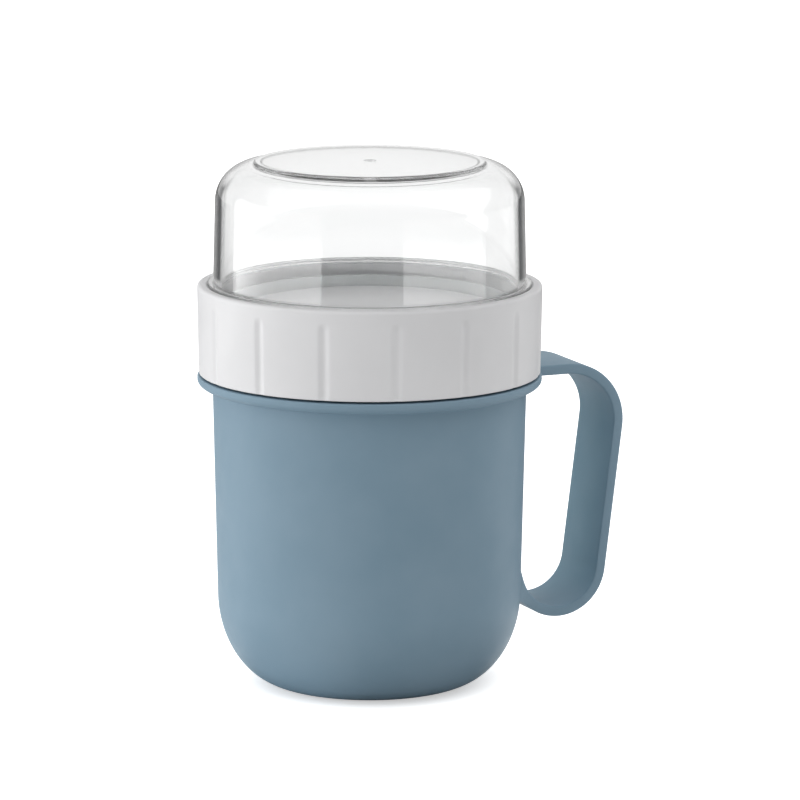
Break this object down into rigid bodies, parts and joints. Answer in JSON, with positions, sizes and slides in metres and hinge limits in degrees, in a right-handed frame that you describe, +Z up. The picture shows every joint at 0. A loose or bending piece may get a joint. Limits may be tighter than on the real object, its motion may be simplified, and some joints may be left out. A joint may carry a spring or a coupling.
{
  "type": "breakfast to-go mug",
  "caption": "Plastic breakfast mug with strap handle, grooved double-sided screw lid and a clear topping cup screwed upside down into the lid.",
  "frame": {"origin": "centre of the flat base, on the mug's axis, on the surface it stands on", "axes": "+Z up along the mug's axis, +X towards the handle"},
  "size_m": [0.1257, 0.1, 0.1535],
  "materials": {
    "mug_plastic": "satin grey-blue polypropylene",
    "lid_plastic": "satin white polypropylene",
    "clear_plastic": "clear polished plastic",
    "silicone": "translucent white silicone"
  },
  "bodies": {
    "mug": {"mug": "mug_plastic"},
    "mug_seal": {"mug_seal": "silicone"},
    "lid": {"screw_lid": "lid_plastic"},
    "cup_seal": {"cup_seal": "silicone"},
    "cup": {"topping_cup": "clear_plastic"}
  },
  "joints": [
    {"name": "lid_rise", "type": "slide", "parent": "mug", "child": "mug_seal", "axis": [0, 0, 1], "range_m": [0, 0.01351]},
    {"name": "lid_turn", "type": "hinge", "parent": "mug_seal", "child": "lid", "pos_m": [0, 0, 0.1], "axis": [0, 0, 1], "range_deg": [0, 540]},
    {"name": "cup_rise", "type": "slide", "parent": "lid", "child": "cup_seal", "axis": [0, 0, 1], "range_m": [0, 0.00901]},
    {"name": "cup_turn", "type": "hinge", "parent": "cup_seal", "child": "cup", "pos_m": [0, 0, 0.11], "axis": [0, 0, 1], "range_deg": [0, 360]}
  ],
  "couplings": [
    {"joint": "lid_rise", "follows": "lid_turn", "m_per_rad": 0.0014324},
    {"joint": "cup_rise", "follows": "cup_turn", "m_per_rad": 0.0014324}
  ]
}
